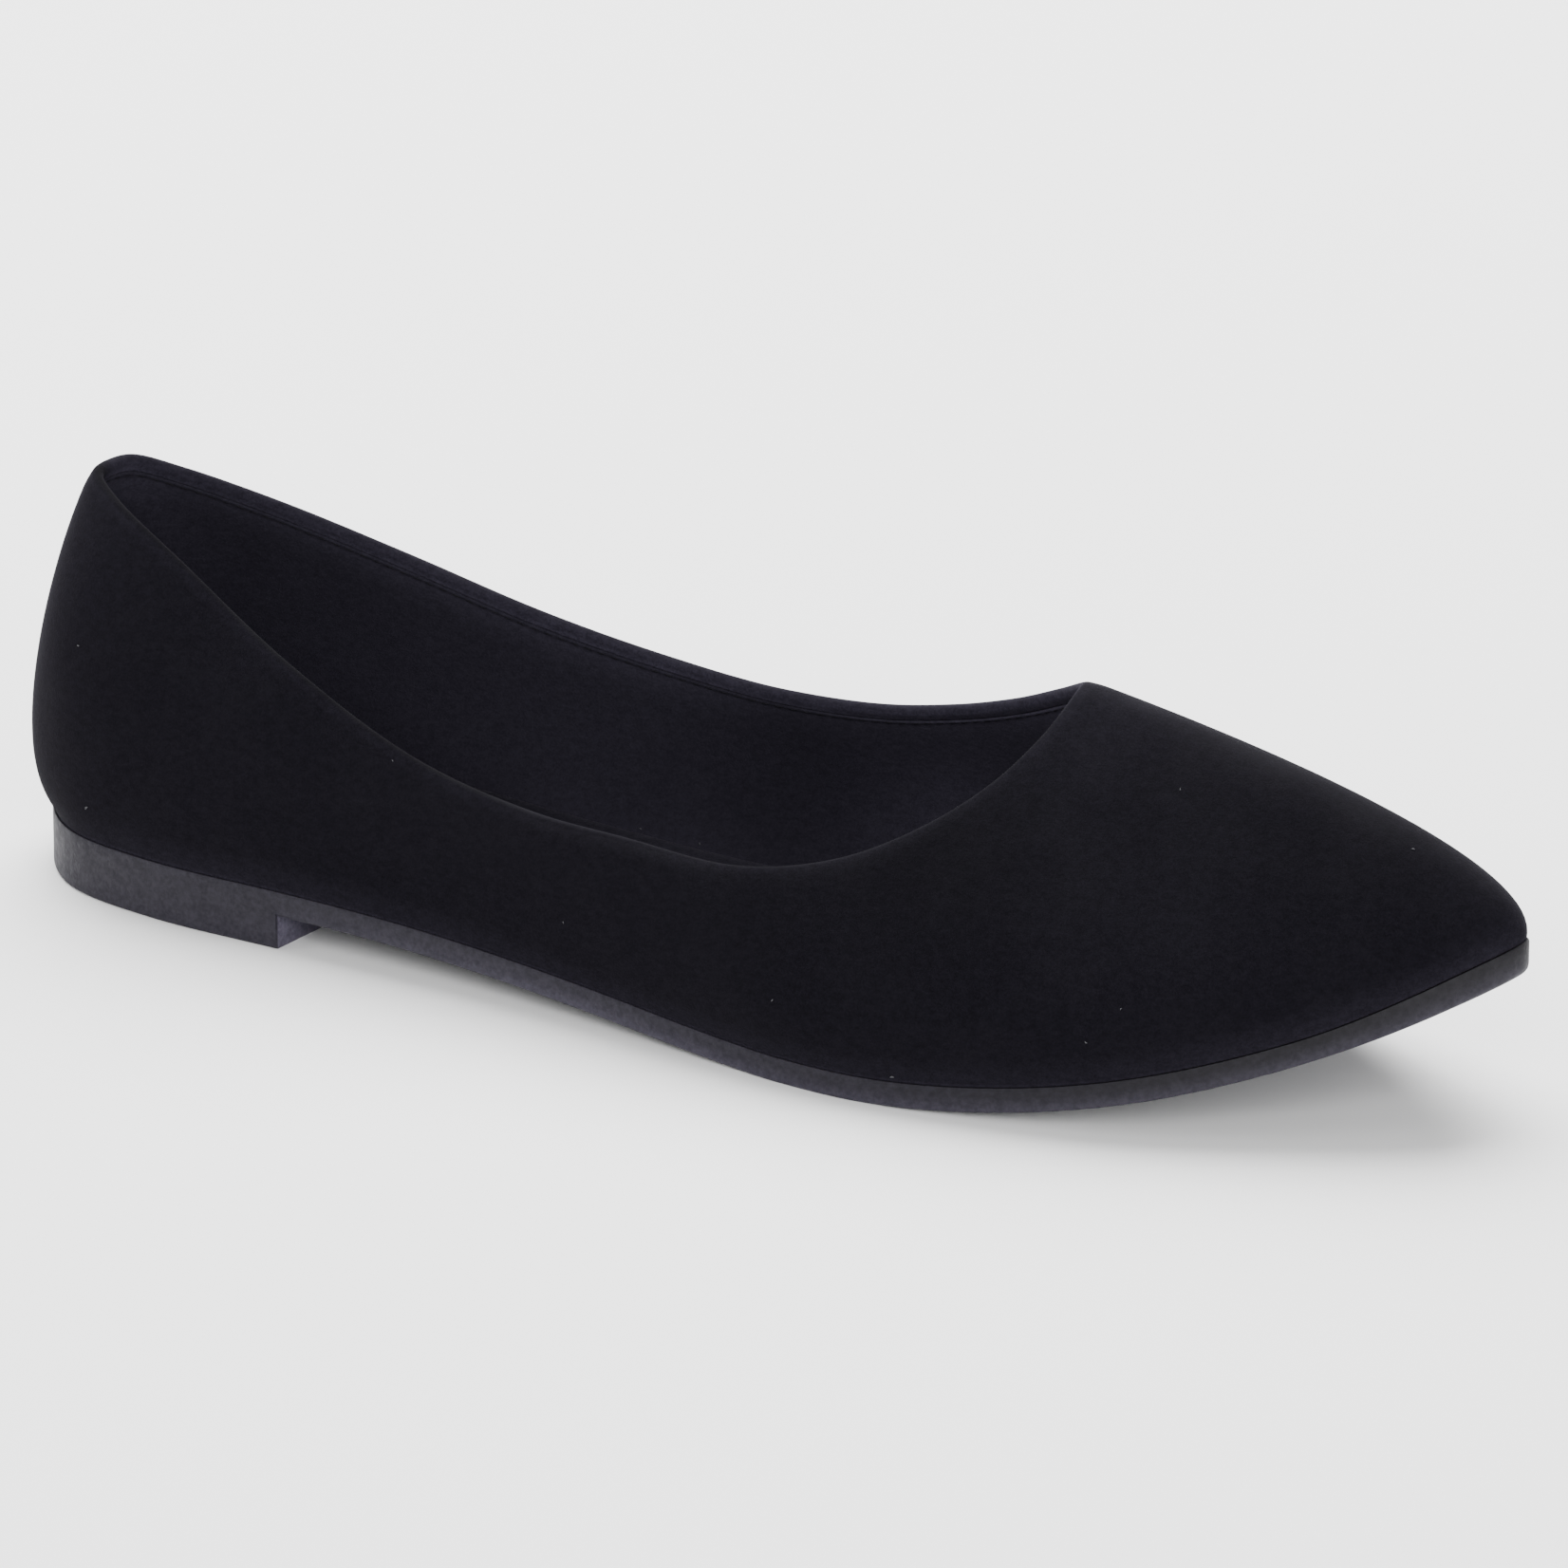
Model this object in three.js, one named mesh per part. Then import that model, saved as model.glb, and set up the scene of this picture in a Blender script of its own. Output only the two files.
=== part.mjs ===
// A pointed toe flat for the right foot: a hollow napped upper, an insole and a moulded unit sole.
// Millimetres, +Z up, toe towards +X, outer side of the foot towards -Y.
// The origin is on the ground, under the middle of the whole shoe.
import * as THREE from 'three';
import { mergeVertices } from 'three/addons/utils/BufferGeometryUtils.js';

// Last
const soleLength = 259;
const ballWidth = 77;
const heelWidth = 50;
const toeSwing = 5;
const toeSpring = 23.5;

// Unit sole
const heelStep = 5.6;
const heelLength = 56;
const breastSlant = 4;
const soleEdge = 4.2;
const toeBumper = 1.5;
const soleChamfer = 0.7;
const toeChamfer = 1.7;
const soleLip = 0.4;

// Upper
const backHeight = 65;
const throatHeight = 56.8;
const wall = 2;
const facingDepth = 2.3;
const facingStep = 0.5;
const foldRise = 0.95;
const marginWidth = 12;
const marginThickness = 1.1;

// Insole
const insoleThickness = 2;
const insoleDish = 0.8;

// Clearance between pieces that meet
const gap = 0.3;

// Where the forms change, as shares of soleLength
const widensFrom = 0.12;
const widensTo = 0.6;
const dropsFrom = 0.15;
const dropsTo = 0.6;
const swingsFrom = 0.45;
const treadFrom = 0.59;
const treadTo = 0.63;
const bumperFrom = 0.9;

// Powers of the curves: roundness of the arch at the heel and at the tread, of the spring, of the swing
const archHeel = 2;
const archTread = 1.5;
const springCurve = 2.1;
const swingCurve = 2;

// How far up its chord a rib's upper handle lies, and the most of the way to the middle a margin turns in
const upperHandle = 2 / 3;
const marginLimit = 0.4;

// Where the folded edge rounds over, as shares of its thickness
const foldNear = 0.25;
const foldFar = 0.75;

// Fineness: grid steps, how much closer they lie near the sole, and how near in ribs two sections may come
const ribsPerRow = 3;
const wallSteps = 11;
const acrossSteps = 6;
const closeness = 1.5;
const leastStep = 0.35;
const mergeWithin = 1e-4;

// A table's rows as objects with named columns.
function table(names, rows) {
  const keys = names.split(' ');
  return rows.map((row) => Object.fromEntries(keys.map((key, k) => [key, row[k]])));
}

// Foot line, where the upper meets the sole, from the back of the heel to the tip of the toe.
// along is a share of soleLength; outer and inner are shares of the half width there.
const FOOT = table('along outer inner', [
  [0.000, 0.00, 0.00],
  [0.012, 0.43, 0.42],
  [0.050, 0.84, 0.82],
  [0.120, 1.05, 0.96],
  [0.220, 1.06, 0.84],
  [0.335, 0.98, 0.64],
  [0.450, 0.94, 0.60],
  [0.550, 0.97, 0.76],
  [0.640, 1.03, 0.93],
  [0.730, 0.98, 0.92],
  [0.820, 0.85, 0.76],
  [0.905, 0.59, 0.50],
  [0.968, 0.31, 0.27],
  [1.000, 0.00, 0.00],
]);

// Topline on the outer side, one row for each row of the foot line.
// rise is a share of the height of the last's crest there.
const TOP_OUTER = table('along across rise', [
  [0.0262, 0.00, 1.000],
  [0.0315, 0.26, 0.999],
  [0.057, 0.46, 0.970],
  [0.120, 0.66, 0.862],
  [0.212, 0.83, 0.685],
  [0.309, 0.89, 0.560],
  [0.398, 0.89, 0.527],
  [0.475, 0.86, 0.540],
  [0.548, 0.81, 0.538],
  [0.608, 0.72, 0.595],
  [0.652, 0.58, 0.690],
  [0.683, 0.37, 0.797],
  [0.700, 0.14, 0.906],
  [0.705, -0.10, 0.995],
]);

// Topline on the inner side.
const TOP_INNER = table('along across rise', [
  [0.0262, 0.00, 1.000],
  [0.0325, 0.24, 0.992],
  [0.060, 0.43, 0.955],
  [0.120, 0.64, 0.880],
  [0.200, 0.80, 0.780],
  [0.290, 0.82, 0.695],
  [0.371, 0.80, 0.651],
  [0.444, 0.79, 0.631],
  [0.514, 0.77, 0.653],
  [0.571, 0.72, 0.711],
  [0.622, 0.63, 0.790],
  [0.662, 0.51, 0.876],
  [0.691, 0.33, 0.955],
  [0.705, 0.10, 1.000],
]);

// Shape of each rib between foot line and topline, as shares of the rib's own chord.
// reach: how far the lower handle lies up the chord. low, high: how far the handles bow out from it.
const RIBS_OUTER = table('reach low high', [
  [0.09, 0.15, 0.11],
  [0.09, 0.15, 0.11],
  [0.17, 0.12, 0.11],
  [0.20, 0.11, 0.10],
  [0.25, 0.09, 0.08],
  [0.26, 0.10, 0.08],
  [0.27, 0.12, 0.10],
  [0.28, 0.15, 0.12],
  [0.26, 0.19, 0.13],
  [0.20, 0.21, 0.12],
  [0.13, 0.20, 0.10],
  [0.08, 0.17, 0.07],
  [0.05, 0.155, 0.055],
  [0.04, 0.14, 0.057],
]);

const RIBS_INNER = table('reach low high', [
  [0.09, 0.15, 0.11],
  [0.09, 0.15, 0.11],
  [0.17, 0.13, 0.12],
  [0.22, 0.14, 0.11],
  [0.25, 0.16, 0.12],
  [0.25, 0.19, 0.13],
  [0.24, 0.20, 0.13],
  [0.24, 0.20, 0.13],
  [0.24, 0.20, 0.13],
  [0.20, 0.20, 0.12],
  [0.13, 0.19, 0.10],
  [0.08, 0.17, 0.07],
  [0.05, 0.145, 0.065],
  [0.04, 0.14, 0.057],
]);

const smooth = THREE.MathUtils.smoothstep;
const lerp = THREE.MathUtils.lerp;

// Half width of the last, from heel to ball.
function halfWidth(along) {
  return lerp(heelWidth, ballWidth, smooth(along, widensFrom, widensTo)) / 2;
}

// Sideways place of the last's middle line, which swings inward towards the toe.
function middle(along) {
  return toeSwing * Math.max(0, (along - swingsFrom) / (1 - swingsFrom)) ** swingCurve;
}

// Height that the topline's rises are shares of, from the back to the throat.
function crest(along) {
  return lerp(backHeight, throatHeight, smooth(along, dropsFrom, dropsTo));
}

const archFrom = heelLength / soleLength;

// Height of the outsole's underside: heel seat, arch, flat tread, toe spring.
function underside(along) {
  const arch = THREE.MathUtils.clamp((along - archFrom) / (treadFrom - archFrom), 0, 1);
  const toe = Math.max(0, (along - treadTo) / (1 - treadTo));
  return heelStep * (1 - arch ** archHeel) ** archTread + toeSpring * toe ** springCurve;
}

// Top of the sole: its edge grows taller round the tip of the toe.
function soleTop(x) {
  return underside(x / soleLength) + soleEdge + toeBumper * smooth(x / soleLength, bumperFrom, 1);
}

const footing = (x) => soleTop(x) + gap;

// Chamfer of the sole's lower edge, larger round the tip of the toe.
function edgeChamfer(x) {
  return lerp(soleChamfer, toeChamfer, smooth(x / soleLength, bumperFrom, 1));
}

// The rows of both sides as one closed round: heel, outer side, toe, inner side.
function around(outer, inner, place) {
  const out = outer.map((row) => place(row, -1));
  const home = inner.slice(1, -1).reverse().map((row) => place(row, 1));
  return [...out, ...home];
}

function closedCurve(points, kind) {
  return new THREE.CatmullRomCurve3(points, true, kind);
}

const footCurve = closedCurve(around(FOOT, FOOT, (row, side) => {
  const share = side < 0 ? row.outer : row.inner;
  const y = middle(row.along) + side * share * halfWidth(row.along);
  return new THREE.Vector3(row.along * soleLength, y, 0);
}), 'centripetal');

const topCurve = closedCurve(around(TOP_OUTER, TOP_INNER, (row, side) => {
  const y = middle(row.along) + side * row.across * halfWidth(row.along);
  return new THREE.Vector3(row.along * soleLength, y, row.rise * crest(row.along));
}), 'centripetal');

const ribCurve = closedCurve(around(RIBS_OUTER, RIBS_INNER, (row) => {
  return new THREE.Vector3(row.reach, row.low, row.high);
}), 'catmullrom');

const ribCount = 2 * (FOOT.length - 1) * ribsPerRow;
const halfCount = ribCount / 2;

function footPoint(t) {
  const p = footCurve.getPoint(t);
  p.z = footing(p.x);
  return p;
}

// One rib of the upper's outer face, from the foot line to the topline.
function rib(t) {
  const step = 1 / (4 * ribCount);
  const foot = footPoint(t);
  const top = topCurve.getPoint(t);
  const chord = top.clone().sub(foot);
  const ahead = footPoint((t + step) % 1).add(topCurve.getPoint((t + step) % 1));
  const behind = footPoint((t + 1 - step) % 1).add(topCurve.getPoint((t + 1 - step) % 1));
  const outward = ahead.sub(behind).cross(chord).normalize().multiplyScalar(chord.length());
  const shape = ribCurve.getPoint(t);
  const low = foot.clone().addScaledVector(chord, shape.x).addScaledVector(outward, shape.y);
  const high = foot.clone().addScaledVector(chord, upperHandle).addScaledVector(outward, shape.z);
  return new THREE.CubicBezierCurve3(foot, low, high, top);
}

// Places along a rib, in millimetres from the foot line, closer together near the sole.
function ribStops(size) {
  const body = size - facingDepth;
  const stops = [];
  for (let k = 0; k <= wallSteps; k += 1) {
    stops.push(lerp(marginThickness, body, (k / wallSteps) ** closeness));
  }
  return [0, ...stops, size];
}

const ribs = [];
for (let i = 0; i < ribCount; i += 1) {
  const curve = rib(i / ribCount);
  const size = curve.getLength();
  const points = ribStops(size).map((stop) => curve.getPointAt(stop / size));
  ribs.push({ curve, size, points });
}

// Outward normal of the upper's outer face at one grid point.
function wallNormal(i, k) {
  const next = ribs[(i + 1) % ribCount].points[k];
  const last = ribs[(i + ribCount - 1) % ribCount].points[k];
  const points = ribs[i].points;
  const up = points[Math.min(k + 1, points.length - 1)].clone().sub(points[Math.max(k - 1, 0)]);
  return next.clone().sub(last).cross(up).normalize();
}

// Lining side of the wall, standing on the lasting margin.
for (let i = 0; i < ribCount; i += 1) {
  const lining = ribs[i].points.map((p, k) => p.clone().addScaledVector(wallNormal(i, k), -wall));
  lining.shift();
  lining[0].z = footing(lining[0].x) + marginThickness;
  ribs[i].lining = lining;
}

// Plan direction from a foot point towards the last's middle line.
function inwardFrom(foot) {
  const x = THREE.MathUtils.clamp(foot.x, heelWidth / 2, soleLength - ballWidth / 2);
  return new THREE.Vector3(x - foot.x, middle(x / soleLength) - foot.y, 0);
}

// Closed section of the upper through one rib: wall, folded edge, facing, lining side, lasting margin.
function upperSection(i) {
  const outer = ribs[i].points;
  const last = outer.length - 1;
  const edge = wallNormal(i, last);
  const up = outer[last].clone().sub(outer[last - 1]).normalize();
  const thick = wall + facingStep;
  const fold = [
    outer[last].clone().addScaledVector(edge, -foldNear * thick).addScaledVector(up, foldRise),
    outer[last].clone().addScaledVector(edge, -foldFar * thick).addScaledVector(up, foldRise),
  ];
  const facing = [
    outer[last].clone().addScaledVector(edge, -thick),
    outer[last - 1].clone().addScaledVector(wallNormal(i, last - 1), -thick),
  ];
  const lining = ribs[i].lining.slice(0, -1).reverse();
  return [...outer, ...fold, ...facing, ...lining, ...lastingMargin(i)];
}

// The margin that turns in under the insole: its top going in, then its underside coming back.
function lastingMargin(i) {
  const foot = ribs[i].points[0];
  const inward = inwardFrom(foot);
  const reach = Math.min(marginWidth / inward.length(), marginLimit);
  const start = ribs[i].lining[0];
  const end = foot.clone().addScaledVector(inward, reach);
  const at = (from, share, height) => {
    const p = from.clone().lerp(end, share);
    return p.setZ(footing(p.x) + height);
  };
  const top = [at(start, 0.5, marginThickness), at(start, 1, marginThickness)];
  const under = [at(foot, 1, 0), at(foot, 0.5, 0)];
  return [...top, ...under];
}

// A closed solid through a row of sections with the same number of points.
function loft(sections, wrap) {
  const size = sections[0].length;
  const spans = wrap ? sections.length : sections.length - 1;
  const positions = sections.flat().flatMap((p) => [p.x, p.y, p.z]);
  const index = [];
  for (let i = 0; i < spans; i += 1) {
    const j = (i + 1) % sections.length;
    for (let k = 0; k < size; k += 1) {
      const m = (k + 1) % size;
      index.push(i * size + k, j * size + k, j * size + m);
      index.push(i * size + k, j * size + m, i * size + m);
    }
  }
  return closeUp(positions, index);
}

// Merges shared corners, drops folded triangles and turns all faces outward.
function closeUp(positions, index) {
  let geometry = new THREE.BufferGeometry();
  geometry.setAttribute('position', new THREE.Float32BufferAttribute(positions, 3));
  geometry.setIndex(index);
  geometry = mergeVertices(geometry, mergeWithin);
  const at = geometry.getIndex().array;
  const kept = [];
  for (let n = 0; n < at.length; n += 3) {
    const [a, b, c] = [at[n], at[n + 1], at[n + 2]];
    if (a !== b && b !== c && c !== a) {
      kept.push(a, b, c);
    }
  }
  if (volume(geometry, kept) < 0) {
    kept.reverse();
  }
  geometry.setIndex(kept);
  geometry.computeVertexNormals();
  return geometry;
}

function volume(geometry, index) {
  const place = geometry.getAttribute('position');
  const corner = (n) => new THREE.Vector3().fromBufferAttribute(place, n);
  let sum = 0;
  for (let n = 0; n < index.length; n += 3) {
    sum += corner(index[n]).dot(corner(index[n + 1]).cross(corner(index[n + 2]))) / 6;
  }
  return sum;
}

// Points across the shoe between two edge points, dished in the middle where the shoe is wide.
function across(from, to, dish) {
  const depth = dish * smooth(from.distanceTo(to), 0, heelWidth);
  const points = [];
  for (let k = 1; k < acrossSteps; k += 1) {
    const share = k / acrossSteps;
    const p = from.clone().lerp(to, share);
    p.z -= depth * 4 * share * (1 - share);
    points.push(p);
  }
  return points;
}

// Sole edge point at a place round the foot line, moved out in plan by a distance.
function soleEdgePoint(t, out, z) {
  const p = footCurve.getPoint(t);
  const run = footCurve.getTangent(t);
  p.x += run.y * out;
  p.y -= run.x * out;
  p.z = z(p.x);
  return p;
}

// One section of the unit sole, with its outer and inner places round the foot line.
function soleSection(outerT, innerT, low) {
  const side = (t) => {
    const chamfer = edgeChamfer(footCurve.getPoint(t).x);
    return {
      top: soleEdgePoint(t, soleLip, soleTop),
      edge: soleEdgePoint(t, soleLip, (x) => low(x) + chamfer),
      base: soleEdgePoint(t, soleLip - chamfer, low),
    };
  };
  const outer = side(outerT);
  const inner = side(innerT);
  return [
    outer.top,
    ...across(outer.top, inner.top, 0),
    inner.top,
    inner.edge,
    inner.base,
    ...across(inner.base, outer.base, 0),
    outer.base,
    outer.edge,
  ];
}

// Place round the foot line, on one side, where it passes a distance from the heel.
function placeAt(x, side) {
  let low = 0;
  let high = 0.5;
  for (let n = 0; n < 40; n += 1) {
    const mid = (low + high) / 2;
    const t = side < 0 ? mid : 1 - mid;
    if (footCurve.getPoint(t).x < x) {
      low = mid;
    } else {
      high = mid;
    }
  }
  return side < 0 ? low : 1 - low;
}

function unitSole() {
  const ground = () => 0;
  const under = (x) => underside(x / soleLength);
  const outerBreast = placeAt(heelLength, -1);
  const innerBreast = placeAt(heelLength + breastSlant, 1);
  const clear = leastStep / ribCount;
  const sections = [];
  for (let i = 0; i <= halfCount; i += 1) {
    const t = i / ribCount;
    const behind = t < outerBreast - clear;
    const ahead = t > 1 - innerBreast + clear && t > outerBreast + clear;
    if (behind || ahead) {
      sections.push(soleSection(t, (1 - t) % 1, behind ? ground : under));
    }
    if (behind && (i + 1) / ribCount >= outerBreast - clear) {
      sections.push(soleSection(outerBreast, innerBreast, ground));
      sections.push(soleSection(outerBreast, innerBreast, under));
    }
  }
  return loft(sections, false);
}

function upper() {
  const sections = [];
  for (let i = 0; i < ribCount; i += 1) {
    sections.push(upperSection(i));
  }
  return loft(sections, true);
}

// Point of the lining side at a height over the foot line.
function liningAt(i, height) {
  const points = ribs[(i + ribCount) % ribCount].lining;
  const over = (p) => p.z - footing(p.x) - height;
  const k = Math.max(1, points.findIndex((p) => over(p) > 0));
  const low = over(points[k - 1]);
  return points[k - 1].clone().lerp(points[k], -low / (over(points[k]) - low));
}

// Upright insole edge at one rib, inside the lining over the insole's whole thickness.
function insoleEdge(i, low, high) {
  const run = liningAt(i + 1, low).sub(liningAt(i - 1, low)).setZ(0).normalize();
  const inward = new THREE.Vector3(-run.y, run.x, 0);
  const foot = liningAt(i, low);
  const head = liningAt(i, high);
  const edge = foot.dot(inward) > head.dot(inward) ? foot : head;
  edge.addScaledVector(inward, gap);
  return [low, high].map((height) => edge.clone().setZ(footing(edge.x) + height));
}

function insole() {
  const low = marginThickness + gap;
  const high = low + insoleThickness;
  const sections = [];
  for (let i = 0; i <= halfCount; i += 1) {
    const [outerLow, outerHigh] = insoleEdge(i, low, high);
    const [innerLow, innerHigh] = insoleEdge(ribCount - i, low, high);
    sections.push([
      outerHigh,
      ...across(outerHigh, innerHigh, insoleDish),
      innerHigh,
      innerLow,
      ...across(innerLow, outerLow, 0),
      outerLow,
    ]);
  }
  return loft(sections, false);
}

function piece(name, geometry, colour, roughness) {
  const material = new THREE.MeshStandardMaterial({ color: colour, roughness, metalness: 0 });
  const mesh = new THREE.Mesh(geometry, material);
  mesh.name = name;
  return mesh;
}

const group = new THREE.Group();
group.add(piece('unit_sole', unitSole(), 0x33343a, 0.6));
group.add(piece('upper', upper(), 0x17171d, 0.95));
group.add(piece('insole', insole(), 0x131318, 0.9));

// The middle of the whole shoe goes over the origin.
const box = new THREE.Box3().setFromObject(group);
group.position.set(-(box.min.x + box.max.x) / 2, -(box.min.y + box.max.y) / 2, -box.min.z);

export default group;
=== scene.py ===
"""A pointed toe flat for the right foot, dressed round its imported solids: cloth, lining, thread and rubber.

Shapes are worked out in millimetres along the last, heel at zero, and turned into the frame's metres when a
mesh is made.
"""
import math
from collections import namedtuple

import bpy
import bmesh
from mathutils import Matrix, Vector


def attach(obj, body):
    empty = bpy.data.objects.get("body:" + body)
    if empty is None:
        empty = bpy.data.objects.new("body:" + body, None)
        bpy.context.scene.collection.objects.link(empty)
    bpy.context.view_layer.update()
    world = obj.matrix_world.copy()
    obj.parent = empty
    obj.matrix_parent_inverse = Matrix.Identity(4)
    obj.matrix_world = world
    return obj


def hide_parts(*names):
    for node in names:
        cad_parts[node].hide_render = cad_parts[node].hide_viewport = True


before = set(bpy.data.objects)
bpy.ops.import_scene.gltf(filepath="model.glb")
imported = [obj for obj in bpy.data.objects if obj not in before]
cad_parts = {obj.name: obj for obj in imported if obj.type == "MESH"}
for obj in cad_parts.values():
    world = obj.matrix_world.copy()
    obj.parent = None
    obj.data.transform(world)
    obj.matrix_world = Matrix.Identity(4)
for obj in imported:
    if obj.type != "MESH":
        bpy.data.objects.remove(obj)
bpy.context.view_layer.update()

MM = 0.001

# Last
SOLE_LENGTH = 259.0
BALL_WIDTH = 77.0
HEEL_WIDTH = 50.0
TOE_SWING = 5.0
TOE_SPRING = 23.5

# Unit sole
HEEL_STEP = 5.6
HEEL_LENGTH = 56.0
BREAST_SLANT = 4.0
SOLE_EDGE = 4.2
TOE_BUMPER = 1.5
SOLE_CHAMFER = 0.7
TOE_CHAMFER = 1.7
SOLE_LIP = 0.4

# Upper
BACK_HEIGHT = 65.0
THROAT_HEIGHT = 56.8
WALL = 2.0
CLOTH = 1.0
EDGE_THICKNESS = 2.3
EDGE_RISE = 1.05
TURNED_EDGE = 1.5
BEAD_DEPTH = 2.45
BEAD_SWELL = 0.25
MARGIN_THICKNESS = 1.1

# Insole
SEAT = 0.03
INSOLE_THICKNESS = 2.0
INSOLE_DISH = 0.8
GAP = 0.3
SOCK_CLEARANCE = 0.1

# Where the forms change, as shares of the sole's length
WIDENS = (0.12, 0.6)
DROPS = (0.15, 0.6)
SWINGS_FROM = 0.45
TREAD = (0.59, 0.63)
BUMPER_FROM = 0.9
ARCH_HEEL = 2.0
ARCH_TREAD = 1.5
SPRING_CURVE = 2.1
UPPER_HANDLE = 2 / 3

# The shoe's middle on the ground, on the last's own scale, which lies over the frame's origin
MIDDLE = Vector((127.9609, 0.0132, 0.0))

# Fineness: ribs round the shoe, steps up the wall, steps across the sole and the insole
ROUND = 364
WALL_STEPS = 44
ACROSS_STEPS = 24


def table(names, rows):
    """Rows with named columns."""
    row_type = namedtuple("Row", names)
    return [row_type(*row) for row in rows]


# Foot line, heel to toe: along is a share of length, outer and inner are shares of the half width there.
FOOT = table("along outer inner", [
    (0.000, 0.00, 0.00),
    (0.012, 0.43, 0.42),
    (0.050, 0.84, 0.82),
    (0.120, 1.05, 0.96),
    (0.220, 1.06, 0.84),
    (0.335, 0.98, 0.64),
    (0.450, 0.94, 0.60),
    (0.550, 0.97, 0.76),
    (0.640, 1.03, 0.93),
    (0.730, 0.98, 0.92),
    (0.820, 0.85, 0.76),
    (0.905, 0.59, 0.50),
    (0.968, 0.31, 0.27),
    (1.000, 0.00, 0.00),
])

# Topline: across is a share of the half width, rise a share of the crest's height there.
TOP_OUTER = table("along across rise", [
    (0.0262, 0.00, 1.000),
    (0.0315, 0.26, 0.999),
    (0.057, 0.46, 0.970),
    (0.120, 0.66, 0.862),
    (0.212, 0.83, 0.685),
    (0.309, 0.89, 0.560),
    (0.398, 0.89, 0.527),
    (0.475, 0.86, 0.540),
    (0.548, 0.81, 0.538),
    (0.608, 0.72, 0.595),
    (0.652, 0.58, 0.690),
    (0.683, 0.37, 0.797),
    (0.700, 0.14, 0.906),
    (0.705, -0.10, 0.995),
])
TOP_INNER = table("along across rise", [
    (0.0262, 0.00, 1.000),
    (0.0325, 0.24, 0.992),
    (0.060, 0.43, 0.955),
    (0.120, 0.64, 0.880),
    (0.200, 0.80, 0.780),
    (0.290, 0.82, 0.695),
    (0.371, 0.80, 0.651),
    (0.444, 0.79, 0.631),
    (0.514, 0.77, 0.653),
    (0.571, 0.72, 0.711),
    (0.622, 0.63, 0.790),
    (0.662, 0.51, 0.876),
    (0.691, 0.33, 0.955),
    (0.705, 0.10, 1.000),
])

# Each rib's bow, as shares of its chord: how far up the lower handle lies, how far both handles stand out.
RIBS_OUTER = table("reach low high", [
    (0.09, 0.15, 0.11),
    (0.09, 0.15, 0.11),
    (0.17, 0.12, 0.11),
    (0.20, 0.11, 0.10),
    (0.25, 0.09, 0.08),
    (0.26, 0.10, 0.08),
    (0.27, 0.12, 0.10),
    (0.28, 0.15, 0.12),
    (0.26, 0.19, 0.13),
    (0.20, 0.21, 0.12),
    (0.13, 0.20, 0.10),
    (0.08, 0.17, 0.07),
    (0.05, 0.155, 0.055),
    (0.04, 0.14, 0.057),
])
RIBS_INNER = table("reach low high", [
    (0.09, 0.15, 0.11),
    (0.09, 0.15, 0.11),
    (0.17, 0.13, 0.12),
    (0.22, 0.14, 0.11),
    (0.25, 0.16, 0.12),
    (0.25, 0.19, 0.13),
    (0.24, 0.20, 0.13),
    (0.24, 0.20, 0.13),
    (0.24, 0.20, 0.13),
    (0.20, 0.20, 0.12),
    (0.13, 0.19, 0.10),
    (0.08, 0.17, 0.07),
    (0.05, 0.145, 0.065),
    (0.04, 0.14, 0.057),
])


# The last


def lerp(low, high, share):
    return low + (high - low) * share


def smooth(value, low, high):
    """Rises softly from 0 at low to 1 at high."""
    share = min(1.0, max(0.0, (value - low) / (high - low)))
    return share * share * (3 - 2 * share)


def half_width(along):
    return lerp(HEEL_WIDTH, BALL_WIDTH, smooth(along, *WIDENS)) / 2


def middle(along):
    """Sideways place of the last's middle line."""
    return TOE_SWING * max(0.0, (along - SWINGS_FROM) / (1 - SWINGS_FROM)) ** 2


def crest(along):
    """Height that the topline's rises are shares of."""
    return lerp(BACK_HEIGHT, THROAT_HEIGHT, smooth(along, *DROPS))


def underside(along):
    """Height of the outsole's underside: heel seat, arch, flat tread, toe spring."""
    arch_from = HEEL_LENGTH / SOLE_LENGTH
    arch = min(1.0, max(0.0, (along - arch_from) / (TREAD[0] - arch_from)))
    toe = max(0.0, (along - TREAD[1]) / (1 - TREAD[1]))
    return HEEL_STEP * (1 - arch ** ARCH_HEEL) ** ARCH_TREAD + TOE_SPRING * toe ** SPRING_CURVE


def sole_top(x):
    along = x / SOLE_LENGTH
    return underside(along) + SOLE_EDGE + TOE_BUMPER * smooth(along, BUMPER_FROM, 1)


def footing(x):
    return sole_top(x) + GAP


def edge_chamfer(x):
    """Chamfer of the sole's lower edge, larger round the tip of the toe."""
    return lerp(SOLE_CHAMFER, TOE_CHAMFER, smooth(x / SOLE_LENGTH, BUMPER_FROM, 1))


class Loop:
    """A smooth closed curve through points. spacing 0 spreads them evenly, 0.25 by their distance's root."""

    def __init__(self, points, spacing):
        self.points = points
        self.spacing = spacing

    def at(self, t):
        count = len(self.points)
        place = (t % 1.0) * count
        first = int(place)
        share = place - first
        p0, p1, p2, p3 = (self.points[(first + k) % count] for k in (-1, 0, 1, 2))
        d0, d1, d2 = ((b - a).length_squared ** self.spacing for a, b in ((p0, p1), (p1, p2), (p2, p3)))
        start = ((p1 - p0) / d0 - (p2 - p0) / (d0 + d1) + (p2 - p1) / d1) * d1
        end = ((p2 - p1) / d1 - (p3 - p1) / (d1 + d2) + (p3 - p2) / d2) * d1
        square, cube = share ** 2, share ** 3
        return (
            p1 * (1 - 3 * square + 2 * cube)
            + p2 * (3 * square - 2 * cube)
            + start * (share - 2 * square + cube)
            + end * (cube - square)
        )


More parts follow.
